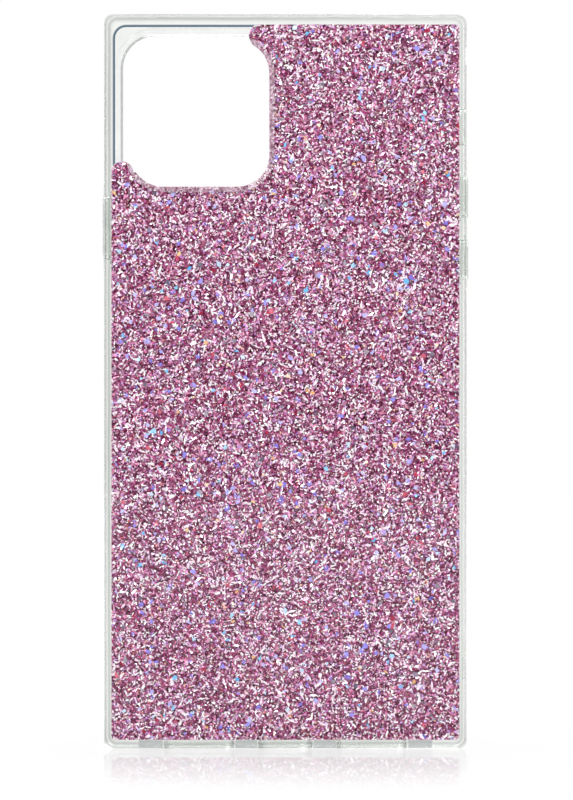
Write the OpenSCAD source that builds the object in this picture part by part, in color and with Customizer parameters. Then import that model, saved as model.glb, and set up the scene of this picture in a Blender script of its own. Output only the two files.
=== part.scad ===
// Clear square-cornered phone case with a glitter back.
// X is the width, Y the thickness with the back towards -Y, and Z the height.
// The case stands on its bottom edge, and the origin is the middle of that edge.

/* [Phone that the case fits] */
// Width of the phone
phone_w = 78.1; // [70:0.1:82]
// Height of the phone
phone_h = 160.8; // [140:0.1:168]
// Thickness of the phone
phone_t = 7.4; // [6.5:0.1:9]
// Radius of the phone's corners
phone_corner_r = 9; // [6:0.5:12]
// Clearance round the phone, each side
phone_gap = 0.15; // [0.05:0.05:0.3]

/* [Frame] */
// Thickness of the two side walls
side_wall = 2.5; // [2.2:0.1:3.5]
// Thickness of the top wall
top_wall = 3.0; // [2.4:0.1:4]
// Thickness of the bottom wall
bottom_wall = 4.9; // [3:0.1:6]
// Radius of the outline's corners
outer_corner_r = 1.9; // [1.5:0.1:2.2]
// Radius of the long outer edges
edge_r = 0.9; // [0.4:0.1:1.2]
// How far the front lip reaches over the phone
lip_over = 1.6; // [1:0.1:2.5]
// Height of the front lip above the phone
lip_t = 1.4; // [0.8:0.1:1.8]
// Chamfer inside the front lip
lip_chamfer = 0.6; // [0.2:0.1:0.9]

/* [Back panel] */
// Width of the rim left outside the panel, at the sides
rim_side = 1.65; // [1.2:0.05:2]
// Width of the rim left outside the panel, at the top
rim_top = 2.4; // [1.6:0.1:2.8]
// Width of the rim left outside the panel, at the bottom
rim_bottom = 2.0; // [1.6:0.1:2.8]
// How far the rim stands above the clear cover
rim_above = 0.2; // [0.1:0.05:0.4]
// Radius of the panel's corners
panel_corner_r = 1.0; // [0.5:0.1:2]
// Gap between the panel's edge and the frame
panel_gap = 0.05; // [0.02:0.01:0.1]
// Thickness of the clear cover
cover_t = 0.6; // [0.4:0.1:1]
// Thickness of the glitter layer
glitter_t = 0.55; // [0.3:0.05:0.8]
// Thickness of the backing film
film_t = 0.15; // [0.1:0.05:0.3]
// Thickness of the adhesive sheet
adhesive_t = 0.1; // [0.05:0.05:0.2]
// Thickness of the hard inner plate
plate_t = 1.0; // [0.8:0.1:1.5]

/* [Camera cut-out] */
// Left edge of the cut-out, from the middle of the case
camera_left = -35.6; // [-36.5:0.1:-30]
// Right edge of the cut-out, from the middle of the case
camera_right = -3.7; // [-8:0.1:4]
// Bottom edge of the cut-out, below the top of the case
camera_bottom_drop = 39.7; // [34:0.1:44]
// Top edge of the cut-out, below the top of the case
camera_top_drop = 6.1; // [5:0.1:8]
// Radius of the cut-out's corners
camera_corner_r = 7.4; // [5:0.1:9]
// Radius of the square corner beside the walls
notch_corner_r = 2.6; // [1:0.1:4]
// Radius of the panel's rounded ends beside the cut-out
horn_r = 2.5; // [1.5:0.1:2.6]
// Width of the bevel round the cut-out
bevel_w = 1.2; // [0.5:0.1:1.5]
// Depth of the bevel round the cut-out
bevel_d = 0.4; // [0.2:0.05:0.5]

/* [Side keys] */
// Height of the power key's middle
power_z = 119.9; // [100:0.1:130]
// Length of the power key
power_len = 14.6; // [10:0.1:18]
// Height of the upper volume key's middle
volume_up_z = 127.0; // [115:0.1:135]
// Height of the lower volume key's middle
volume_down_z = 112.5; // [95:0.1:114]
// Length of each volume key
volume_len = 9.2; // [7:0.1:11]
// Width of every key
key_w = 3.2; // [2.4:0.1:4]
// How far a key stands out of its pad
key_out = 0.25; // [0.1:0.05:0.5]
// Gap round a key in its window
key_gap = 0.15; // [0.1:0.05:0.3]
// How far a key can be pressed
key_travel = 0.5; // [0.3:0.1:0.6]
// How far the wall's pad stands out under the keys
pad_out = 0.25; // [0.1:0.05:0.4]
// Width of the wall's pad
pad_w = 6.6; // [5:0.1:7.5]
// How far the wall's pad runs past the keys
pad_past = 2.9; // [1:0.1:4]
// Radius of the wall's pad corners
pad_r = 2.4; // [1:0.1:3]

/* [Cut-outs in the walls] */
// Height of the mute switch slot's middle
mute_z = 143.1; // [138:0.1:150]
// Length of the mute switch slot
mute_len = 8.6; // [6:0.1:10]
// Width of the mute switch slot
mute_w = 4.6; // [4.2:0.1:6]
// Radius of the mute switch slot's corners
mute_r = 1.6; // [0.5:0.1:2]
// Length of the charging port slot
port_len = 12.6; // [10:0.1:14]
// Width of the charging port slot
port_w = 6.2; // [5:0.1:6.6]
// Length of each speaker slot
speaker_len = 16.2; // [8:0.1:20]
// Width of each speaker slot
speaker_w = 4.6; // [4.2:0.1:6]
// Distance from the middle to a speaker slot's middle
speaker_x = 19.9; // [18:0.1:24]
// Height of the strap groove's middle, near the foot of the right wall
strap_z = 18.3; // [12:0.1:30]
// Length of the strap groove
strap_len = 5.2; // [3:0.1:8]
// Width of the strap groove
strap_w = 2.0; // [1:0.1:3]
// Depth of the strap groove in the wall's outer face
strap_d = 0.9; // [0.3:0.1:1.2]

/* [Hidden] */
$fn = 96;

// Spare room in the pocket's thickness
pocket_spare = 0.2;

// Outer size of the frame
pocket_w = phone_w + 2 * phone_gap;
pocket_h = phone_h + 2 * phone_gap;
pocket_t = phone_t + pocket_spare;
case_w = pocket_w + 2 * side_wall;
case_h = pocket_h + bottom_wall + top_wall;
stack_t = rim_above + cover_t + glitter_t + film_t + adhesive_t + plate_t;
case_t = stack_t + pocket_t + lip_t;

// Levels through the thickness, from the back
back_y = -case_t / 2;
cover_y = back_y + rim_above;
glitter_y = cover_y + cover_t;
film_y = glitter_y + glitter_t;
adhesive_y = film_y + film_t;
plate_y = adhesive_y + adhesive_t;
pocket_y = plate_y + plate_t;
lip_y = pocket_y + pocket_t;
front_y = case_t / 2;
phone_mid_y = (pocket_y + lip_y) / 2;

// Edges of the panel and of the pocket
panel_x = case_w / 2 - rim_side;
panel_z0 = rim_bottom;
panel_z1 = case_h - rim_top;
pocket_x = pocket_w / 2;
pocket_z0 = bottom_wall;
pocket_z1 = case_h - top_wall;
camera_z0 = case_h - camera_bottom_drop;
camera_z1 = case_h - camera_top_drop;

// The panel's two rounded ends beside the cut-out, and the angles where they run into it
left_horn_rise = 3.3;
top_horn_inset = 2.2;
left_horn_blend = 20;
top_horn_blend = 45;
left_horn = [-panel_x + horn_r, camera_z0 + left_horn_rise];
top_horn = [camera_right - top_horn_inset, panel_z1 - horn_r];

// Flange that keeps a key in its window, and the recess it moves in
flange_t = 0.5;
flange_past = 0.8;
flange_r = 1.3;
recess_past = 1.1;
recess_r = 1.6;
recess_d = 1.2;
flange_play = 0.05;

// Rib on the back of a key, and the chamfer round its face
rib_t = 0.25;
rib_w = 1.4;
rib_short = 3;
key_chamfer = 0.2;

// Flat left at the ends of the bottom slots, and how far cutters reach past a face
slot_flat = 0.2;
cut = 1;

// A rectangle from (x0, z0) to (x1, z1) with round corners
module rounded_rect(x0, x1, z0, z1, r) {
    translate([x0 + r, z0])
        square([x1 - x0 - 2 * r, z1 - z0]);
    translate([x0, z0 + r])
        square([x1 - x0, z1 - z0 - 2 * r]);
    for (x = [x0 + r, x1 - r], z = [z0 + r, z1 - r])
        translate([x, z])
            circle(r);
}

// Extrudes an outline drawn in X and Z from y0 to y1
module along_y(y0, y1) {
    translate([0, y1, 0])
        rotate([90, 0, 0])
            linear_extrude(y1 - y0)
                children();
}

// Extrudes an outline drawn in X and Y from z0 to z1
module along_z(z0, z1) {
    translate([0, 0, z0])
        linear_extrude(z1 - z0)
            children();
}

// Extrudes an outline drawn in Y and Z from x0 to x1
module along_x(x0, x1) {
    translate([x0, 0, 0])
        rotate([90, 0, 90])
            linear_extrude(x1 - x0)
                children();
}

// A slot outline with round corners, len long in Z and w wide in Y
module slot_yz(mid_z, len, w, r) {
    translate([phone_mid_y, mid_z])
        rounded_rect(-w / 2, w / 2, -len / 2, len / 2, r);
}

// A slot outline with full round ends, len long in Z and w wide in Y
module stadium_yz(mid_z, len, w) {
    translate([phone_mid_y - w / 2, mid_z - (len - w) / 2])
        square([w, len - w]);
    for (z = [-(len - w) / 2, (len - w) / 2])
        translate([phone_mid_y, mid_z + z])
            circle(w / 2);
}

// The opening through the panel that follows the phone's camera plate
module camera_opening(grow) {
    rounded_rect(camera_left - grow, camera_right + grow,
        camera_z0 - grow, camera_z1 + grow, camera_corner_r + grow);
}

// The panel's outline, open at the camera corner with two rounded ends
module panel_outline(grow) {
    difference() {
        union() {
            difference() {
                rounded_rect(-panel_x - grow, panel_x + grow,
                    panel_z0 - grow, panel_z1 + grow, panel_corner_r + grow);
                translate([-case_w, left_horn[1]])
                    square([case_w + top_horn[0], case_h]);
            }
            translate(left_horn)
                circle(horn_r + grow);
            translate(left_horn)
                square([horn_r, horn_r * sin(left_horn_blend)]);
            translate(top_horn)
                circle(horn_r + grow);
            translate(top_horn - [horn_r * sin(top_horn_blend), 2 * horn_r])
                square([horn_r * sin(top_horn_blend), 2 * horn_r]);
        }
        camera_opening(-grow);
    }
}

// One layer of the panel between two levels
module panel_layer(y0, y1) {
    along_y(y0, y1)
        panel_outline(0);
}

// Outer body: two crossed slabs with round edges, and a round puck in each corner
module outer_body() {
    r = outer_corner_r;
    along_z(r, case_h - r)
        rounded_rect(-case_w / 2, case_w / 2, back_y, front_y, edge_r);
    along_x(-case_w / 2 + r, case_w / 2 - r)
        rounded_rect(back_y, front_y, 0, case_h, edge_r);
    for (x = [-case_w / 2 + r, case_w / 2 - r], z = [r, case_h - r])
        translate([x, 0, z])
            rotate([90, 0, 0])
                corner_puck();
}

// A disc of the outline's corner radius with round edges
module corner_puck() {
    r = outer_corner_r;
    rotate_extrude()
        intersection() {
            rounded_rect(-r, r, back_y, front_y, edge_r);
            translate([0, back_y])
                square([r, case_t]);
        }
}

// Raised pad on a side wall, under one or two keys
module wall_pad(side, z0, z1) {
    x = case_w / 2 - cut;
    mirror([side < 0 ? 1 : 0, 0, 0])
        along_x(x, case_w / 2 + pad_out)
            translate([phone_mid_y, (z0 + z1) / 2])
                rounded_rect(-pad_w / 2, pad_w / 2, (z0 - z1) / 2, (z1 - z0) / 2, pad_r);
}

// Window for one key, with the recess for its flange on the pocket side
module key_window(side, mid_z, len) {
    w = key_w + 2 * key_gap;
    mirror([side < 0 ? 1 : 0, 0, 0]) {
        along_x(pocket_x - cut, case_w / 2 + cut)
            stadium_yz(mid_z, len + 2 * key_gap, w);
        along_x(pocket_x - cut, pocket_x + recess_d)
            slot_yz(mid_z, len + 2 * recess_past, key_w + 2 * recess_past, recess_r);
    }
}

// Slot through the bottom wall
module bottom_slot(mid_x, len, w) {
    along_z(-cut, bottom_wall + cut)
        translate([mid_x, phone_mid_y])
            rounded_rect(-len / 2, len / 2, -w / 2, w / 2, (w - slot_flat) / 2);
}

// Front opening inside the lip, widening outwards
module front_opening() {
    x = pocket_x - lip_over;
    z0 = pocket_z0 + lip_over;
    z1 = pocket_z1 - lip_over;
    r = phone_corner_r - lip_over;
    c = lip_chamfer;
    along_y(lip_y - cut, front_y + cut)
        rounded_rect(-x, x, z0, z1, r);
    along_z(z0 + r, z1 - r)
        polygon([[-x, front_y - c], [-x - c, front_y], [x + c, front_y], [x, front_y - c]]);
    along_x(-x + r, x - r)
        polygon([[front_y - c, z0], [front_y, z0 - c], [front_y, z1 + c], [front_y - c, z1]]);
    for (cx = [-x + r, x - r], cz = [z0 + r, z1 - r])
        translate([cx, front_y, cz])
            rotate([90, 0, 0])
                cylinder(h = c, r1 = r + c, r2 = r);
}

module bumper_frame() {
    color([0.86, 0.9, 0.87, 0.5])
        difference() {
            union() {
                outer_body();
                wall_pad(-1, power_z - power_len / 2 - pad_past, power_z + power_len / 2 + pad_past);
                wall_pad(1, volume_down_z - volume_len / 2 - pad_past,
                    volume_up_z + volume_len / 2 + pad_past);
            }
            along_y(back_y - cut, pocket_y)
                panel_outline(panel_gap);
            along_y(back_y - cut, pocket_y + cut)
                rounded_rect(-pocket_x, camera_right, camera_z0, pocket_z1, notch_corner_r);
            along_y(pocket_y - cut, lip_y)
                rounded_rect(-pocket_x, pocket_x, pocket_z0, pocket_z1, phone_corner_r);
            front_opening();
            key_window(-1, power_z, power_len);
            key_window(1, volume_up_z, volume_len);
            key_window(1, volume_down_z, volume_len);
            along_x(pocket_x - cut, case_w / 2 + cut)
                slot_yz(mute_z, mute_len, mute_w, mute_r);
            along_x(case_w / 2 - strap_d, case_w / 2 + cut)
                stadium_yz(strap_z, strap_len, strap_w);
            bottom_slot(0, port_len, port_w);
            bottom_slot(-speaker_x, speaker_len, speaker_w);
            bottom_slot(speaker_x, speaker_len, speaker_w);
        }
}

module back_plate() {
    color([0.9, 0.92, 0.92, 0.5])
        panel_layer(plate_y, pocket_y);
}

module adhesive_sheet() {
    color([0.93, 0.9, 0.85, 0.4])
        panel_layer(adhesive_y, plate_y);
}

module backing_film() {
    color([0.42, 0.2, 0.31])
        panel_layer(film_y, adhesive_y);
}

module glitter_layer() {
    color([0.72, 0.5, 0.64])
        panel_layer(glitter_y, film_y);
}

// Cone-cornered cutter that bevels the cover's outer edge round the cut-out
module cover_bevel() {
    x0 = camera_left + camera_corner_r;
    x1 = camera_right - camera_corner_r;
    z0 = camera_z0 + camera_corner_r;
    z1 = camera_z1 - camera_corner_r;
    r = camera_corner_r;
    d = bevel_d;
    w = bevel_w;
    along_z(z0, z1)
        polygon([[x0 - r - w, cover_y], [x0 - r, cover_y + d], [x1 + r, cover_y + d], [x1 + r + w, cover_y]]);
    along_x(x0, x1)
        polygon([[cover_y, z0 - r - w], [cover_y + d, z0 - r], [cover_y + d, z1 + r], [cover_y, z1 + r + w]]);
    for (x = [x0, x1], z = [z0, z1])
        translate([x, cover_y + d, z])
            rotate([90, 0, 0])
                cylinder(h = d, r1 = r, r2 = r + w);
}

module clear_cover() {
    color([0.95, 0.93, 0.95, 0.4])
        difference() {
            panel_layer(cover_y, glitter_y);
            cover_bevel();
        }
}

// A key: outer cap with a small chamfer, inner flange, and a rib that meets the phone's key
module key(side, mid_z, len) {
    tip = case_w / 2 + pad_out + key_out;
    seat = pocket_x + recess_d - flange_play;
    r = key_w / 2;
    half = len / 2 - r;
    mirror([side < 0 ? 1 : 0, 0, 0]) {
        along_x(seat - flange_t, tip - key_chamfer)
            stadium_yz(mid_z, len, key_w);
        along_x(seat - flange_t, seat)
            slot_yz(mid_z, len + 2 * flange_past, key_w + 2 * flange_past, flange_r);
        along_x(seat - flange_t - rib_t, seat - flange_t)
            stadium_yz(mid_z, len - rib_short, rib_w);
        along_z(mid_z - half, mid_z + half)
            polygon([
                [tip - key_chamfer, phone_mid_y - r],
                [tip, phone_mid_y - r + key_chamfer],
                [tip, phone_mid_y + r - key_chamfer],
                [tip - key_chamfer, phone_mid_y + r]
            ]);
        for (z = [mid_z - half, mid_z + half])
            translate([tip - key_chamfer, phone_mid_y, z])
                rotate([0, 90, 0])
                    cylinder(h = key_chamfer, r1 = r, r2 = r - key_chamfer);
    }
}

module power_button() {
    color([0.86, 0.9, 0.87, 0.7])
        key(-1, power_z, power_len);
}

module volume_up_button() {
    color([0.86, 0.9, 0.87, 0.7])
        key(1, volume_up_z, volume_len);
}

module volume_down_button() {
    color([0.86, 0.9, 0.87, 0.7])
        key(1, volume_down_z, volume_len);
}

bumper_frame();
back_plate();
adhesive_sheet();
backing_film();
glitter_layer();
clear_cover();
power_button();
volume_up_button();
volume_down_button();
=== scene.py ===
"""The looks of a clear square phone case with a glitter back, built round its CAD frame.

Everything is in metres, in the frame of the CAD model: X is the width, Y the thickness with the
glitter back towards -Y, and Z the height. The case stands on its bottom edge at Z = 0.
"""

import math

import bpy
import numpy as np
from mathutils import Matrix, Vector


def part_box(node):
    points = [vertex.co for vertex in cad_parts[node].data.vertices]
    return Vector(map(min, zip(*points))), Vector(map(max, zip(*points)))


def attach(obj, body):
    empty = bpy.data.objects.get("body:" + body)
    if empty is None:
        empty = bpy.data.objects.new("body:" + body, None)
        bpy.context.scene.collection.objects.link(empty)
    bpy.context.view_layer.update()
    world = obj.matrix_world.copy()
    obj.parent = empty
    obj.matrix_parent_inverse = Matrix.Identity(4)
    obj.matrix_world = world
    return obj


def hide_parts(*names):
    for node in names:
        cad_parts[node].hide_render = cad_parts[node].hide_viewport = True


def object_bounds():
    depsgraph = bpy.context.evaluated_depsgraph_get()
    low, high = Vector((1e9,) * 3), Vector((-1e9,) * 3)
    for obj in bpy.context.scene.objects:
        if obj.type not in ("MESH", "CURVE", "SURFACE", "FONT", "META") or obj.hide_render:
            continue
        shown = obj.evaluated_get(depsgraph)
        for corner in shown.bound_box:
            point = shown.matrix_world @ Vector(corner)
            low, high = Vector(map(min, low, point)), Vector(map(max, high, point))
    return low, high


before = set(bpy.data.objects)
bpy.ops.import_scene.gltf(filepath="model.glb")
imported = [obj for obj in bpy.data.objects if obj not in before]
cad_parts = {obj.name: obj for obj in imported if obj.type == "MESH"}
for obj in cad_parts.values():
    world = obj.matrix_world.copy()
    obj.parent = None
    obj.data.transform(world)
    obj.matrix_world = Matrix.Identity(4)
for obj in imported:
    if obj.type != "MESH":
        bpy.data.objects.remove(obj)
cad_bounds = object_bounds()

MM = 0.001
rng = np.random.default_rng(20)


# ---------------------------------------------------------------- shader helpers


def new_material(name):
    """An empty node material, its tree and its output node."""
    material = bpy.data.materials.new(name)
    material.use_nodes = True
    tree = material.node_tree
    tree.nodes.clear()
    output = tree.nodes.new("ShaderNodeOutputMaterial")
    return material, tree, output


def add(tree, kind, **values):
    """A node with its properties set, or its inputs where the name is an input's."""
    node = tree.nodes.new(kind)
    for name, value in values.items():
        socket = node.inputs.get(name.replace("_", " "))
        if socket is not None:
            socket.default_value = value
        else:
            setattr(node, name, value)
    return node


def link(tree, source, target):
    tree.links.new(source, target)


def ramp(tree, factor, stops):
    """A colour ramp through (place, colour) stops."""
    node = tree.nodes.new("ShaderNodeValToRGB")
    elements = node.color_ramp.elements
    while len(elements) < len(stops):
        elements.new(0.5)
    for element, (place, colour) in zip(elements, stops):
        element.position = place
        element.color = (*colour, 1)
    link(tree, factor, node.inputs["Fac"])
    return node.outputs["Color"]


def srgb(red, green, blue):
    """Linear colour from 0 to 255 display values."""
    def linear(value):
        value /= 255
        return value / 12.92 if value <= 0.04045 else ((value + 0.055) / 1.055) ** 2.4
    return (linear(red), linear(green), linear(blue))


def noise(tree, scale, detail=3, roughness=0.5):
    """Noise over the piece's own coordinates, scale in waves per metre."""
    place = add(tree, "ShaderNodeTexCoord")
    node = add(tree, "ShaderNodeTexNoise", Scale=scale, Detail=detail, Roughness=roughness)
    link(tree, place.outputs["Object"], node.inputs["Vector"])
    return node.outputs["Fac"]


def bump(tree, height, distance, strength=0.5):
    node = add(tree, "ShaderNodeBump", Strength=strength, Distance=distance)
    link(tree, height, node.inputs["Height"])
    return node.outputs["Normal"]


# ---------------------------------------------------------------- materials

PLASTIC_IOR = 1.46
# Patches a metre on the frosted bevel and on the film, and the slopes where a clear sheet turns frosted.
FROST_CELLS = 2300
FILM_CELLS = 1500
SLANT = (0.995, 0.96)
# The share of the light that goes straight through the soft plastic.
STRAIGHT = 0.48
# How far the wall's pads stand out past the frame's own side.
KEY_PAD = 0.25 * MM
# The depth from the frame's outline that the painted shade streaks on its rim span, and how far they waver.
RIM_R = 3.0 * MM
RIM_WAVE = 0.5 * MM
# How strong the painted shade streaks are at the left and the right wall, and the tint where they are weak.
RIM_SHADE_STRENGTH = (1.0, 0.6)
RIM_PLAIN = (0.93, 0.95, 0.92)
# Only this depth of the frame, from its back, gets the painted shade streaks.
BACK_DEPTH = 1.2 * MM
# The solid posts between the slots in the bottom wall, by their distance from the middle. Their foot gets a
# painted darker shade.
POSTS = ((6.2 * MM, 11.9 * MM), (28.0 * MM, 34.0 * MM))
POST_TOP = 4.0 * MM
POST_SOFT = 0.5 * MM
# The painted shade on the posts' foot: greyer than the plastic round it.
POST_SHADE_TINT = (0.46, 0.48, 0.48)
# The painted shade streaks along the frame's rim: dark and pale grey bands that stand in for the light bent
# by its clear rounded edge. They are listed by depth from its outline, as a share of RIM_R.
RIM_SHADE_STREAKS = [
    (0.00, (0.66, 0.68, 0.67)), (0.08, (0.48, 0.50, 0.49)),
    (0.17, (0.82, 0.84, 0.82)), (0.25, (0.76, 0.78, 0.75)),
    (0.35, (0.40, 0.43, 0.41)), (0.45, (0.50, 0.52, 0.50)),
    (0.55, (0.80, 0.81, 0.79)), (0.72, (0.96, 0.97, 0.96))]
# The square camera corner of the frame: its sides in X and Z, and its corner radius.
NOTCH = (-39.2 * MM, -3.7 * MM, 129.3 * MM, 166.0 * MM, 2.6 * MM)
# The painted dark line beside it, a painted shade standing in for the light bent at the corner's edge: how
# far it reaches to each side, and its colour.
NOTCH_SHADE_REACH = 0.72 * MM
NOTCH_SHADE_TINT = (0.02, 0.06, 0.11)


def edge_distance(tree, centre, half, radius):
    """Distance in X and Z from a round-cornered outline: positive outside it, and -radius well inside."""
    place = add(tree, "ShaderNodeNewGeometry")
    moved = add(tree, "ShaderNodeVectorMath", operation="SUBTRACT")
    moved.inputs[1].default_value = (centre[0], 0, centre[1])
    link(tree, place.outputs["Position"], moved.inputs[0])
    folded = add(tree, "ShaderNodeVectorMath", operation="ABSOLUTE")
    link(tree, moved.outputs["Vector"], folded.inputs[0])
    over = add(tree, "ShaderNodeVectorMath", operation="SUBTRACT")
    over.inputs[1].default_value = (half[0] - radius, 1, half[1] - radius)
    link(tree, folded.outputs["Vector"], over.inputs[0])
    kept = add(tree, "ShaderNodeVectorMath", operation="MAXIMUM")
    kept.inputs[1].default_value = (0, 0, 0)
    link(tree, over.outputs["Vector"], kept.inputs[0])
    reach = add(tree, "ShaderNodeVectorMath", operation="LENGTH")
    link(tree, kept.outputs["Vector"], reach.inputs[0])
    return math_node(tree, "SUBTRACT", reach.outputs["Value"], radius)


def math_node(tree, operation, first, second, third=None):
    """A maths node whose operands are sockets or numbers."""
    node = add(tree, "ShaderNodeMath", operation=operation)
    for index, operand in enumerate((first, second, third)):
        if isinstance(operand, bpy.types.NodeSocket):
            link(tree, operand, node.inputs[index])
        elif operand is not None:
            node.inputs[index].default_value = operand
    return node.outputs["Value"]


def facing_back(tree, low, high):
    """One where a face looks towards -Y, falling to nought where it looks sideways."""
    normal = add(tree, "ShaderNodeNewGeometry")
    parts = add(tree, "ShaderNodeSeparateXYZ")
    link(tree, normal.outputs["Normal"], parts.inputs["Vector"])
    return ranged(tree, parts.outputs["Y"], -low, -high)


def ranged(tree, value, low, high, at_low=0.0, at_high=1.0, smooth=False):
    """A value mapped from low..high to at_low..at_high, and held beyond them."""
    node = add(tree, "ShaderNodeMapRange", interpolation_type="SMOOTHSTEP" if smooth else "LINEAR")
    for name, number in (("From Min", low), ("From Max", high), ("To Min", at_low), ("To Max", at_high)):
        node.inputs[name].default_value = number
    link(tree, value, node.inputs["Value"])
    return node.outputs["Result"]


def position(tree):
    """The sockets X, Y and Z of the place being shaded."""
    place = add(tree, "ShaderNodeNewGeometry")
    parts = add(tree, "ShaderNodeSeparateXYZ")
    link(tree, place.outputs["Position"], parts.inputs["Vector"])
    return parts.outputs["X"], parts.outputs["Y"], parts.outputs["Z"]


def painted_shade_tint(tree, plain):
    """The frame's tint, all of it painted shade: streaks along its rim, a dark line beside the camera
    corner, and greyer bottom posts.
    """
    (x0, back, z0), (x1, _, z1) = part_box("bumper_frame")
    x, y, z = position(tree)
    half = ((x1 - x0) / 2 - KEY_PAD, (z1 - z0) / 2)
    # The rim's streaks are painted shade: dark and pale bands in the frame's tint, in place of light bent
    # by its clear edge.
    outside = edge_distance(tree, ((x0 + x1) / 2, (z0 + z1) / 2), half, RIM_R)
    wave = math_node(tree, "SUBTRACT", noise(tree, 60, detail=2), 0.5)
    wavy = math_node(tree, "MULTIPLY_ADD", wave, RIM_WAVE, outside)
    streaks = ramp(tree, math_node(tree, "MULTIPLY", wavy, -1 / RIM_R), RIM_SHADE_STREAKS)
    patchy = ranged(tree, noise(tree, 22, detail=2), 0.35, 0.65, 0.75, 1.0)
    strength = math_node(tree, "MULTIPLY", patchy, ranged(tree, x, x0, x1, *RIM_SHADE_STRENGTH))
    streaks = mixed(tree, strength, RIM_PLAIN, streaks)
    centre = ((NOTCH[0] + NOTCH[1]) / 2, (NOTCH[2] + NOTCH[3]) / 2)
    notch_half = ((NOTCH[1] - NOTCH[0]) / 2, (NOTCH[3] - NOTCH[2]) / 2)
    beside = math_node(tree, "ABSOLUTE", edge_distance(tree, centre, notch_half, NOTCH[4]), None)
    # A painted shade line along the camera corner's edge.
    line = ranged(tree, beside, NOTCH_SHADE_REACH, 0.4 * NOTCH_SHADE_REACH, smooth=True)
    tint = mixed(tree, line, streaks, NOTCH_SHADE_TINT)
    across = math_node(tree, "ABSOLUTE", x, None)
    # Painted shade greys the solid posts at the foot of the wall.
    for low, high in POSTS:
        inside_post = math_node(tree, "MULTIPLY", ranged(tree, across, low, low + POST_SOFT, smooth=True),
                                ranged(tree, across, high, high - POST_SOFT, smooth=True))
        post_shade = math_node(tree, "MULTIPLY", inside_post, ranged(tree, z, POST_TOP, 0.9 * POST_TOP))
        tint = mixed(tree, post_shade, tint, POST_SHADE_TINT)
    outer_face = math_node(tree, "MULTIPLY", facing_back(tree, 0.15, 0.6), ranged(
        tree, y, back + BACK_DEPTH, back + 0.9 * BACK_DEPTH))
    return mixed(tree, outer_face, plain, tint)


def mixed(tree, factor, first, second):
    """A colour mix whose colours are sockets or plain colours."""
    node = add(tree, "ShaderNodeMix", data_type="RGBA")
    link(tree, factor, node.inputs["Factor"])
    for socket, colour in ((node.inputs[6], first), (node.inputs[7], second)):
        if isinstance(colour, bpy.types.NodeSocket):
            link(tree, colour, socket)
        else:
            socket.default_value = (*colour, 1)
    return node.outputs[2]


def clear_material(name, tint, roughness, wave, wave_height, banded=False):
    """Clear plastic: it bends the light, and lets lamps through so that it casts no hard shadow."""
    material, tree, output = new_material(name)
    shader = add(tree, "ShaderNodeBsdfPrincipled", Roughness=roughness, IOR=PLASTIC_IOR)
    shader.inputs["Transmission Weight"].default_value = 1
    deep = tuple(0.96 * part for part in tint)
    tone = ramp(tree, noise(tree, 260), [(0.3, deep), (0.7, tint)])
    # A banded tint carries painted shade: streaks on the rim, a dark line by the camera corner, and greyer
    # posts.
    if banded:
        tone = painted_shade_tint(tree, tone)
    link(tree, tone, shader.inputs["Base Color"])
    link(tree, bump(tree, noise(tree, wave), wave_height), shader.inputs["Normal"])
    through = add(tree, "ShaderNodeBsdfTransparent")
    link(tree, tone, through.inputs["Color"])
    path = add(tree, "ShaderNodeLightPath")
    mix = add(tree, "ShaderNodeMixShader")
    straight = math_node(tree, "MAXIMUM", path.outputs["Is Shadow Ray"], STRAIGHT)
    link(tree, straight, mix.inputs["Fac"])
    link(tree, shader.outputs["BSDF"], mix.inputs[1])
    link(tree, through.outputs["BSDF"], mix.inputs[2])
    link(tree, mix.outputs["Shader"], output.inputs["Surface"])
    return material


def speckled(tree, scale, stops):
    """Patches the size of a chip, each of its own colour, scale in patches per metre."""
    place = add(tree, "ShaderNodeTexCoord")
    cells = add(tree, "ShaderNodeTexVoronoi", Scale=scale)
    link(tree, place.outputs["Object"], cells.inputs["Vector"])
    patch = add(tree, "ShaderNodeSeparateColor")
    link(tree, cells.outputs["Color"], patch.inputs["Color"])
    return ramp(tree, patch.outputs["Red"], stops)


def coat(tree, ior):
    """How much a clear sheet's outer side mirrors; its inner side, met on the way out, mirrors nothing."""
    fresnel = add(tree, "ShaderNodeFresnel", IOR=ior)
    side = add(tree, "ShaderNodeNewGeometry")
    outer = math_node(tree, "SUBTRACT", 1, side.outputs["Backfacing"])
    return math_node(tree, "MULTIPLY", fresnel.outputs["Fac"], outer)


def sheet_material(name, tint, ior, frost, frost_stops):
    """A thin clear sheet: see-through with a gloss coat, and frosted where its face is cut at a slant."""
    material, tree, output = new_material(name)
    through = add(tree, "ShaderNodeBsdfTransparent", Color=(*tint, 1))
    gloss = add(tree, "ShaderNodeBsdfGlossy", Roughness=0.03)
    smooth = add(tree, "ShaderNodeMixShader")
    link(tree, bump(tree, noise(tree, 90, detail=1), 0.02 * MM, 0.3), gloss.inputs["Normal"])
    link(tree, coat(tree, ior), smooth.inputs["Fac"])
    link(tree, through.outputs["BSDF"], smooth.inputs[1])
    link(tree, gloss.outputs["BSDF"], smooth.inputs[2])
    normal = add(tree, "ShaderNodeNewGeometry")
    parts = add(tree, "ShaderNodeSeparateXYZ")
    link(tree, normal.outputs["True Normal"], parts.inputs["Vector"])
    upright = math_node(tree, "ABSOLUTE", parts.outputs["Y"], None)
    milk = add(tree, "ShaderNodeBsdfDiffuse")
    link(tree, speckled(tree, FROST_CELLS, frost_stops), milk.inputs["Color"])
    mix = add(tree, "ShaderNodeMixShader")
    link(tree, ranged(tree, upright, *SLANT, 0, frost), mix.inputs["Fac"])
    link(tree, smooth.outputs["Shader"], mix.inputs[1])
    link(tree, milk.outputs["BSDF"], mix.inputs[2])
    link(tree, mix.outputs["Shader"], output.inputs["Surface"])
    return material


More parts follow.
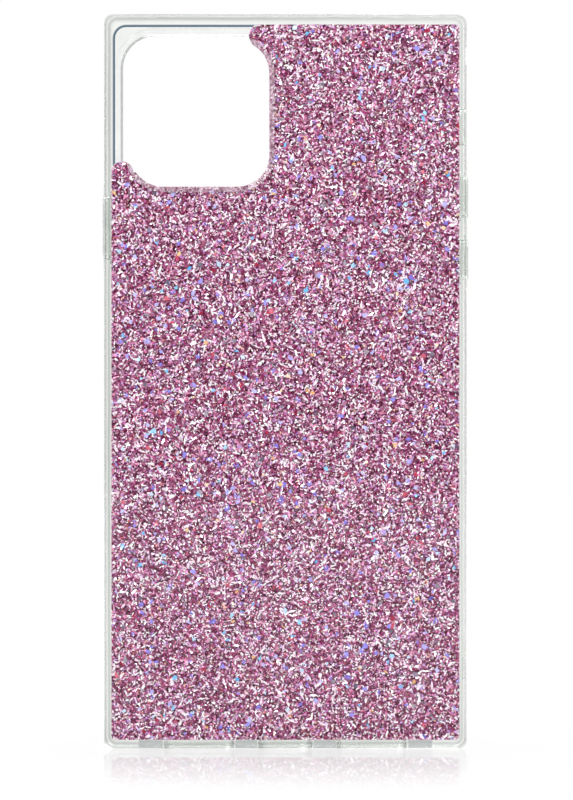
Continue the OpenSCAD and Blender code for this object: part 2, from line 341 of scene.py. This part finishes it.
def film_material():
    """The film under the chips: dark rose in front, with chip-sized patches, and satin rose behind."""
    material, tree, output = new_material("rose_film")
    front = speckled(tree, FILM_CELLS, [
        (0.0, srgb(84, 14, 46)), (0.45, srgb(124, 44, 80)),
        (0.8, srgb(156, 84, 118)), (1.0, srgb(190, 122, 154))])
    back = ramp(tree, noise(tree, 900), [(0.3, srgb(190, 140, 164)), (0.7, srgb(214, 172, 192))])
    side = add(tree, "ShaderNodeNewGeometry")
    parts = add(tree, "ShaderNodeSeparateXYZ")
    link(tree, side.outputs["True Normal"], parts.inputs["Vector"])
    behind = add(tree, "ShaderNodeMath", operation="GREATER_THAN")
    link(tree, parts.outputs["Y"], behind.inputs[0])
    colour = add(tree, "ShaderNodeMix", data_type="RGBA")
    link(tree, behind.outputs["Value"], colour.inputs["Factor"])
    link(tree, front, colour.inputs[6])
    link(tree, back, colour.inputs[7])
    shader = add(tree, "ShaderNodeBsdfPrincipled", Roughness=0.4, Metallic=0.3)
    link(tree, colour.outputs[2], shader.inputs["Base Color"])
    link(tree, shader.outputs["BSDF"], output.inputs["Surface"])
    return material


def chip_material(name, colours, metallic, roughness):
    """Foil chips: each takes a shade from deep to pale, with a faint cloud over it."""
    material, tree, output = new_material(name)
    shade = add(tree, "ShaderNodeAttribute", attribute_name="shade")
    cloud = noise(tree, 1800, detail=2)
    total = add(tree, "ShaderNodeMath", operation="MULTIPLY_ADD")
    total.inputs[1].default_value = 0.25
    link(tree, cloud, total.inputs[0])
    link(tree, shade.outputs["Fac"], total.inputs[2])
    tone = ramp(tree, total.outputs["Value"], list(zip((0.1, 0.6, 1.0), colours)))
    shader = add(tree, "ShaderNodeBsdfPrincipled", Roughness=roughness, Metallic=metallic)
    shader.inputs["Specular IOR Level"].default_value = 0.2
    link(tree, tone, shader.inputs["Base Color"])
    link(tree, shader.outputs["BSDF"], output.inputs["Surface"])
    return material


# ---------------------------------------------------------------- glitter chips

# Each family of chips: its share of them all, its deep, middle and pale colours, and metalness.
CHIPS = {
    "rose_chips": (0.17, srgb(148, 44, 98), srgb(198, 96, 150), srgb(236, 154, 198), 0.2),
    "mauve_chips": (0.12, srgb(106, 48, 86), srgb(154, 92, 132), srgb(190, 140, 172), 0.3),
    "plum_chips": (0.25, srgb(44, 0, 24), srgb(96, 4, 56), srgb(146, 38, 96), 0.1),
    "blush_chips": (0.14, srgb(228, 162, 202), srgb(248, 202, 230), srgb(255, 230, 244), 0.2),
    "orchid_chips": (0.08, srgb(184, 132, 206), srgb(214, 166, 232), srgb(238, 206, 250), 0.25),
    # Silver chips: partly real silver foil and partly painted sparkle. They are near white whatever light
    # falls on them.
    "silver_sparkle_chips": (0.20, srgb(248, 234, 244), srgb(255, 250, 254), srgb(255, 255, 255), 0.3),
    "taupe_chips": (0.05, srgb(92, 70, 84), srgb(138, 116, 126), srgb(178, 160, 164), 0.3),
    "copper_chips": (0.045, srgb(164, 62, 78), srgb(212, 122, 128), srgb(246, 202, 182), 0.3),
}
ROUND = (1.0, 1.25)
LONG = (1.4, 2.1)
# Each family of larger flakes: how many, their sizes in mm, their stretch, their three colours, and
# metalness.
FLAKES = {
    "violet_flakes": (430, (0.42, 0.78), ROUND,
                      srgb(126, 112, 206), srgb(160, 150, 236), srgb(206, 202, 250), 0.2),
    "sky_flakes": (150, (0.4, 0.75), ROUND,
                   srgb(92, 176, 240), srgb(150, 212, 250), srgb(206, 232, 252), 0.2),
    "gold_flakes": (80, (0.35, 0.65), ROUND,
                    srgb(222, 160, 104), srgb(244, 206, 150), srgb(252, 234, 204), 0.2),
    "ruby_flakes": (110, (0.4, 0.75), ROUND,
                    srgb(142, 26, 58), srgb(190, 62, 88), srgb(226, 120, 136), 0.2),
    "grey_flakes": (260, (0.4, 0.75), ROUND,
                    srgb(104, 94, 114), srgb(140, 130, 146), srgb(176, 168, 180), 0.2),
    "pearl_slivers": (2100, (0.34, 0.56), LONG,
                      srgb(250, 222, 240), srgb(255, 244, 252), srgb(255, 255, 255), 0.2),
    "rose_slivers": (1300, (0.34, 0.56), LONG,
                     srgb(150, 48, 96), srgb(196, 108, 150), srgb(232, 160, 194), 0.2),
}
CHIP_ROUGHNESS = 0.3
FLAKE_ROUGHNESS = 0.2
# Chips with three, four and five sides, as shares of them all.
CHIP_SIDES = {3: 0.35, 4: 0.45, 5: 0.2}
# Two layers of chips, by the side of the square that each chip has to itself.
CHIP_PITCHES = (0.6 * MM, 0.5 * MM)
CHIP_SIZE = (0.14 * MM, 0.37 * MM)
CHIP_STRETCH = (1.0, 1.6)
CHIP_DEPTH = 0.04 * MM
FLAKE_PITCH = 1.0 * MM
FLAKE_DEPTH = 0.25 * MM
LEVEL_GAP = 0.01 * MM
LARGEST_TILT = math.radians(42)
TILT_SPREAD = math.radians(20)
# One more row of chips just inside the outline, so that its edge is as full as its middle.
EDGE_PITCH = 0.3 * MM
EDGE_INSET = (0.06 * MM, 0.26 * MM)
# A corner drawn back to the outline keeps at least this share of its reach, so that no two corners meet.
LEAST_SHARE = 0.01
# How often the search for that share halves its step.
HALVINGS = 7
# Points nearer than this are one point.
MICRON = 1e-6
MICRONS_PER_METRE = 1e6


def cap_outline(node, y_face):
    """The closed outline, as rows of (x, z), of a node's flat face at the level y_face."""
    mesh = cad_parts[node].data
    points = np.array([v.co for v in mesh.vertices])
    # Shared corners are stored once a face, so points at the same place are joined first.
    places, same = np.unique(np.round(points * MICRONS_PER_METRE).astype(int), axis=0, return_inverse=True)
    same = same.reshape(-1)
    level = np.abs(points[:, 1] - y_face) < MICRON
    count = {}
    for polygon in mesh.polygons:
        corners = list(polygon.vertices)
        if not all(level[c] for c in corners):
            continue
        for a, b in zip(corners, corners[1:] + corners[:1]):
            edge = (same[a], same[b])
            count[edge] = count.get(edge, 0) + 1
    follow = {a: b for (a, b) in count if (b, a) not in count}
    start = next(iter(follow))
    loop = [start]
    while follow[loop[-1]] != start:
        loop.append(follow[loop[-1]])
    return places[loop][:, [0, 2]] * MICRON


def inside(outline, points):
    """Which points lie inside a closed outline."""
    x, z = points[:, 0], points[:, 1]
    found = np.zeros(len(points), bool)
    for (x0, z0), (x1, z1) in zip(outline, np.roll(outline, -1, axis=0)):
        if z0 == z1:
            continue
        crosses = (z0 > z) != (z1 > z)
        found ^= crosses & (x < (x1 - x0) * (z - z0) / (z1 - z0) + x0)
    return found


def jittered(outline, pitch):
    """One point in each square cell of the outline, moved at random inside its cell."""
    low, high = outline.min(axis=0), outline.max(axis=0)
    count = np.ceil((high - low) / pitch).astype(int)
    grid = np.stack(np.meshgrid(np.arange(count[0]), np.arange(count[1])), axis=-1).reshape(-1, 2)
    points = low + (grid + rng.random(grid.shape)) * pitch
    points = points[inside(outline, points)]
    return points[rng.permutation(len(points))]


def edge_row(outline):
    """Points in a row just inside the outline."""
    ahead = np.roll(outline, -1, axis=0) - outline
    lengths = np.linalg.norm(ahead, axis=1)
    start = np.concatenate([[0], np.cumsum(lengths)])
    along = np.arange(0, start[-1], EDGE_PITCH)
    side = np.clip(np.searchsorted(start, along, side="right") - 1, 0, len(outline) - 1)
    share = (along - start[side]) / lengths[side]
    inward = np.stack([-ahead[:, 1], ahead[:, 0]], axis=-1) / lengths[:, None]
    middle = outline[side] + ahead[side] * share[:, None]
    inset = rng.uniform(*EDGE_INSET, (len(along), 1))
    rows = [middle + inward[side] * inset * way for way in (1, -1)]
    return np.concatenate([row[inside(outline, row)] for row in rows])


def chip_corners(sides, sizes, stretches):
    """Corners of irregular flat chips round their own middles, as (chip, corner, 2)."""
    n = len(sizes)
    turn = (np.arange(sides) + 0.6 * (rng.random((n, sides)) - 0.5)) * math.tau / sides
    radius = sizes[:, None] * (1 + 0.4 * (rng.random((n, sides)) - 0.5))
    along = np.cos(turn) * radius * stretches[:, None]
    across = np.sin(turn) * radius / stretches[:, None]
    heading = rng.random((n, 1)) * math.tau
    cos, sin = np.cos(heading), np.sin(heading)
    return np.stack([along * cos - across * sin, along * sin + across * cos], axis=-1)


def clipped(outline, places, flat):
    """Draws corners that fall outside the outline back towards their chip's middle."""
    share = np.ones(flat.shape[:2])
    outside = ~inside(outline, (places[:, None, :] + flat).reshape(-1, 2)).reshape(share.shape)
    chip, corner = np.nonzero(outside)
    kept, step = np.zeros(len(chip)), 0.5
    for _ in range(HALVINGS):
        trial = kept + step
        fits = inside(outline, places[chip] + flat[chip, corner] * trial[:, None])
        kept[fits] = trial[fits]
        step /= 2
    share[chip, corner] = np.maximum(kept, LEAST_SHARE)
    return flat * share[..., None]


def lifted(flat, levels):
    """Tilts flat corners at random and sets them between two levels: corners, middles and normals."""
    n = len(flat)
    tilt = np.clip(np.abs(rng.normal(0, TILT_SPREAD, n)), 0, LARGEST_TILT)
    lean = rng.random(n) * math.tau
    slope = np.tan(tilt)[:, None] * np.stack([np.cos(lean), np.sin(lean)], axis=-1)
    reach = np.abs((flat * slope[:, None, :]).sum(axis=-1)).max(axis=1)
    room = (levels[1] - levels[0] - CHIP_DEPTH) / 2
    slope *= np.minimum(1, room / reach)[:, None]
    depth = (flat * slope[:, None, :]).sum(axis=-1)
    reach = np.abs(depth).max(axis=1)
    free = levels[1] - levels[0] - CHIP_DEPTH - 2 * reach
    level = levels[0] + reach + free * rng.random(n)
    corners = np.stack([flat[..., 0], depth + level[:, None], flat[..., 1]], axis=-1)
    return corners, level


def chip_solids(outline, places, sizes, stretches, levels):
    """Closed chips, flat in front and dished behind, as (points, faces, chip of each face)."""
    points, faces, owner, first = [], [], [], 0
    sides = rng.choice(list(CHIP_SIDES), len(places), p=list(CHIP_SIDES.values()))
    for k in CHIP_SIDES:
        chosen = np.flatnonzero(sides == k)
        flat = clipped(outline, places[chosen], chip_corners(k, sizes[chosen], stretches[chosen]))
        front, level = lifted(flat, levels)
        front += np.stack([places[chosen, 0], 0 * level, places[chosen, 1]], axis=-1)[:, None, :]
        behind = front.mean(axis=1, keepdims=True) + np.array([0, CHIP_DEPTH, 0])
        points.append(np.concatenate([front, behind], axis=1).reshape(-1, 3))
        base = first + np.arange(len(chosen))[:, None] * (k + 1)
        ring = np.arange(k)
        faces += (base + ring).tolist()
        owner += chosen.tolist()
        for corner in ring:
            faces += (base + np.array([(corner + 1) % k, corner, k])).tolist()
            owner += chosen.tolist()
        first += len(chosen) * (k + 1)
    return np.concatenate(points), faces, np.array(owner)


def chip_object(name, solids, shades, material):
    points, faces, owner = solids
    mesh = bpy.data.meshes.new(name)
    mesh.from_pydata(points.tolist(), [], faces)
    shade = mesh.attributes.new("shade", "FLOAT", "FACE")
    shade.data.foreach_set("value", shades[owner].astype(np.float32))
    mesh.materials.append(material)
    piece = bpy.data.objects.new(name, mesh)
    bpy.context.scene.collection.objects.link(piece)
    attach(piece, "case_body")
    return piece


def make_glitter():
    """All families of chips and flakes, in the space of the CAD glitter layer."""
    low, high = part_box("glitter_layer")
    outline = cap_outline("glitter_layer", low[1])
    levels = (low[1] + LEVEL_GAP, high[1] - LEVEL_GAP)
    places = np.concatenate([jittered(outline, pitch) for pitch in CHIP_PITCHES] + [edge_row(outline)])
    sizes = rng.uniform(*CHIP_SIZE, len(places))
    stretches = rng.uniform(*CHIP_STRETCH, len(places))
    shades = rng.random(len(places))
    share = np.array([family[0] for family in CHIPS.values()])
    family_of = rng.choice(len(CHIPS), len(places), p=share / share.sum())
    for index, (name, (_, *colours, metallic)) in enumerate(CHIPS.items()):
        own = family_of == index
        solids = chip_solids(outline, places[own], sizes[own], stretches[own], levels)
        material = chip_material(name, colours, metallic, CHIP_ROUGHNESS)
        chip_object(name, solids, shades[own], material)
    front_levels = (levels[0], levels[0] + FLAKE_DEPTH)
    for name, (count, size, stretch, *colours, metallic) in FLAKES.items():
        spots = jittered(outline, FLAKE_PITCH)[:count]
        solids = chip_solids(outline, spots, rng.uniform(*size, count) * MM,
                             rng.uniform(*stretch, count), front_levels)
        material = chip_material(name, colours, metallic, FLAKE_ROUGHNESS)
        chip_object(name, solids, rng.random(count), material)
    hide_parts("glitter_layer")


# ---------------------------------------------------------------- the CAD pieces' finishes


def dress(node, material):
    """Gives a CAD node its material."""
    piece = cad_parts[node]
    piece.data.materials.clear()
    piece.data.materials.append(material)


# The adhesive's faces stand this far clear of its neighbours', so that no two faces share a plane.
BOND_GAP = 0.01 * MM


def make_bond(material):
    """The adhesive sheet, very slightly thinner than its CAD solid."""
    low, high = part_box("adhesive_sheet")
    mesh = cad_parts["adhesive_sheet"].data.copy()
    piece = bpy.data.objects.new("adhesive_bond", mesh)
    piece.matrix_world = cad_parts["adhesive_sheet"].matrix_world.copy()
    bpy.context.scene.collection.objects.link(piece)
    inverse = piece.matrix_world.inverted()
    for vertex in mesh.vertices:
        place = piece.matrix_world @ vertex.co
        place.y = min(max(place.y, low[1] + BOND_GAP), high[1] - BOND_GAP)
        vertex.co = inverse @ place
    mesh.materials.clear()
    mesh.materials.append(material)
    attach(piece, "case_body")
    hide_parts("adhesive_sheet")


# The colours of a frosted edge: over the glitter, and over nothing.
FROSTED_GLITTER = [
    (0.0, srgb(128, 92, 108)), (0.35, srgb(158, 128, 142)),
    (0.7, srgb(196, 170, 184)), (1.0, srgb(244, 226, 236))]
FROSTED_PLAIN = [(0.2, (0.8, 0.82, 0.8)), (0.8, (0.9, 0.92, 0.9))]


def dress_case():
    soft = clear_material("clear_bumper", (0.965, 0.975, 0.965), 0.08, 120, 0.04 * MM, banded=True)
    dress("bumper_frame", soft)
    key = clear_material("clear_key", (0.95, 0.96, 0.95), 0.12, 400, 0.02 * MM)
    for node in ("power_button", "volume_up_button", "volume_down_button"):
        dress(node, key)
    dress("clear_cover", sheet_material("clear_cover", (0.985, 0.98, 0.985), 1.4, 0.5, FROSTED_GLITTER))
    dress("back_plate", sheet_material("clear_plate", (0.96, 0.97, 0.965), 1.5, 0.25, FROSTED_PLAIN))
    make_bond(sheet_material("adhesive", (0.96, 0.95, 0.93), 1.2, 0.2, FROSTED_PLAIN))
    dress("backing_film", film_material())


# ---------------------------------------------------------------- stage, light and camera

# The picture is 573 by 800 pixels, 0.23 mm of the case each.
PIXEL = 0.23 * MM
PICTURE_HEIGHT = 800
CAMERA_DISTANCE = 1.5
CAMERA_HEIGHT = 80.2 * MM
CAMERA_SIDE = 0.25 * MM
# The floor mirrors only at a glancing angle, less and less out to FLOOR_FADE. Its glow is weaker in
# all but the camera's own view, so that clear plastic shows against it.
FLOOR_IOR = 1.15
FLOOR_MIRROR = 0.65
FLOOR_FADE = 0.24
FLOOR_THROUGH_PLASTIC = 0.85
FLOOR_GLOW = (0.985, 1.02)
FLOOR_GLOW_REACH = (0.2, 1.2)
FLOOR_MATT = (0.35, 0.35, 0.35, 1)
FLOOR_RADIUS = 4
FLOOR_DROP = 0.02 * MM
# The studio's tones from -Y (0) to +Y (1).
STUDIO_TONES = [
    (0.0, (0.15, 0.15, 0.15)), (0.3, (0.2, 0.2, 0.205)), (0.5, (0.36, 0.37, 0.37)),
    (0.87, (0.32, 0.33, 0.33)), (0.96, (1.0, 1.0, 1.0))]
# Each soft box: its name, place, side and power in watts. All point at LAMP_AIM.
LAMP_AIM = (0, 0, 0.085)
SOFT_BOXES = [
    ("key", (-0.55, -1.1, 0.75), 0.5, 16.0),
    ("fill", (0.75, -1.0, 0.35), 0.6, 5.6),
    ("top", (0, 0.1, 1.2), 0.8, 5),
    ("behind", (0.6, 1.3, 0.9), 1.2, 9)]


def make_camera():
    """A long lens square on to the case's back, level and just below the case's middle."""
    low, _ = cad_bounds
    data = bpy.data.cameras.new("camera")
    data.lens = data.sensor_width * CAMERA_DISTANCE / (PICTURE_HEIGHT * PIXEL)
    data.clip_start = 0.05
    data.clip_end = 20
    camera = bpy.data.objects.new("camera", data)
    camera.location = (CAMERA_SIDE, low[1] - CAMERA_DISTANCE, CAMERA_HEIGHT)
    camera.rotation_euler = (math.radians(90), 0, 0)
    bpy.context.scene.collection.objects.link(camera)
    bpy.context.scene.camera = camera


def floor_material():
    """A pale glowing table whose mirror gloss fades away from the case."""
    material, tree, output = new_material("pale_floor")
    place = add(tree, "ShaderNodeTexCoord")
    reach = add(tree, "ShaderNodeVectorMath", operation="LENGTH")
    link(tree, place.outputs["Object"], reach.inputs[0])
    distance = reach.outputs["Value"]
    glow = add(tree, "ShaderNodeEmission")
    path = add(tree, "ShaderNodeLightPath")
    dimming = ranged(tree, path.outputs["Is Camera Ray"], 0, 1, FLOOR_THROUGH_PLASTIC, 1)
    bright = ranged(tree, distance, *FLOOR_GLOW_REACH, *FLOOR_GLOW, smooth=True)
    link(tree, math_node(tree, "MULTIPLY", bright, dimming), glow.inputs["Strength"])
    matt = add(tree, "ShaderNodeBsdfDiffuse", Color=FLOOR_MATT)
    both = add(tree, "ShaderNodeAddShader")
    link(tree, glow.outputs["Emission"], both.inputs[0])
    link(tree, matt.outputs["BSDF"], both.inputs[1])
    gloss = add(tree, "ShaderNodeBsdfGlossy", Roughness=0.0)
    mix = add(tree, "ShaderNodeMixShader")
    sheen = add(tree, "ShaderNodeFresnel", IOR=FLOOR_IOR)
    near = ranged(tree, distance, 0.0, FLOOR_FADE, FLOOR_MIRROR, 0.0, smooth=True)
    link(tree, math_node(tree, "MULTIPLY", sheen.outputs["Fac"], near), mix.inputs["Fac"])
    link(tree, both.outputs["Shader"], mix.inputs[1])
    link(tree, gloss.outputs["BSDF"], mix.inputs[2])
    link(tree, mix.outputs["Shader"], output.inputs["Surface"])
    return material


def make_floor():
    low, _ = cad_bounds
    bpy.ops.mesh.primitive_circle_add(
        vertices=96, radius=FLOOR_RADIUS, fill_type="NGON", location=(0, 0, low[2] - FLOOR_DROP))
    floor = bpy.context.object
    floor.name = "floor"
    floor.data.materials.append(floor_material())
    return floor


def make_world():
    """A studio, white behind the case and darker elsewhere, that the camera itself sees as all white."""
    world = bpy.data.worlds.new("studio")
    bpy.context.scene.world = world
    world.use_nodes = True
    tree = world.node_tree
    tree.nodes.clear()
    place = add(tree, "ShaderNodeTexCoord")
    parts = add(tree, "ShaderNodeSeparateXYZ")
    link(tree, place.outputs["Generated"], parts.inputs["Vector"])
    tone = add(tree, "ShaderNodeMapRange")
    tone.inputs["From Min"].default_value = -1
    tone.inputs["From Max"].default_value = 1
    link(tree, parts.outputs["Y"], tone.inputs["Value"])
    colour = ramp(tree, tone.outputs["Result"], STUDIO_TONES)
    path = add(tree, "ShaderNodeLightPath")
    seen = add(tree, "ShaderNodeMix", data_type="RGBA")
    seen.inputs[7].default_value = (1, 1, 1, 1)
    link(tree, path.outputs["Is Camera Ray"], seen.inputs["Factor"])
    link(tree, colour, seen.inputs[6])
    light = add(tree, "ShaderNodeBackground", Strength=1.0)
    output = add(tree, "ShaderNodeOutputWorld")
    link(tree, seen.outputs[2], light.inputs["Color"])
    link(tree, light.outputs["Background"], output.inputs["Surface"])


def soft_box(name, place, aim, size, power, flagged):
    """A square soft box at place, pointed at aim, and flagged off the things in one collection."""
    data = bpy.data.lights.new(name, "AREA")
    data.shape = "SQUARE"
    data.size = size
    data.energy = power
    lamp = bpy.data.objects.new(name, data)
    lamp.location = place
    direction = np.array(aim) - np.array(place)
    yaw = math.atan2(direction[0], -direction[1])
    fall = math.atan2(math.hypot(direction[0], direction[1]), -direction[2])
    lamp.rotation_euler = (fall, 0, yaw + math.pi)
    lamp.light_linking.receiver_collection = flagged
    bpy.context.scene.collection.objects.link(lamp)


def make_lights(floor):
    """Soft boxes that light the case but not the floor, which glows by itself."""
    flagged = bpy.data.collections.new("flagged")
    flagged.objects.link(floor)
    flagged.collection_objects[0].light_linking.link_state = "EXCLUDE"
    for name, place, size, power in SOFT_BOXES:
        soft_box(name, place, LAMP_AIM, size, power, flagged)


bpy.context.scene.view_settings.view_transform = "Standard"
make_camera()
make_world()
make_lights(make_floor())
dress_case()
make_glitter()
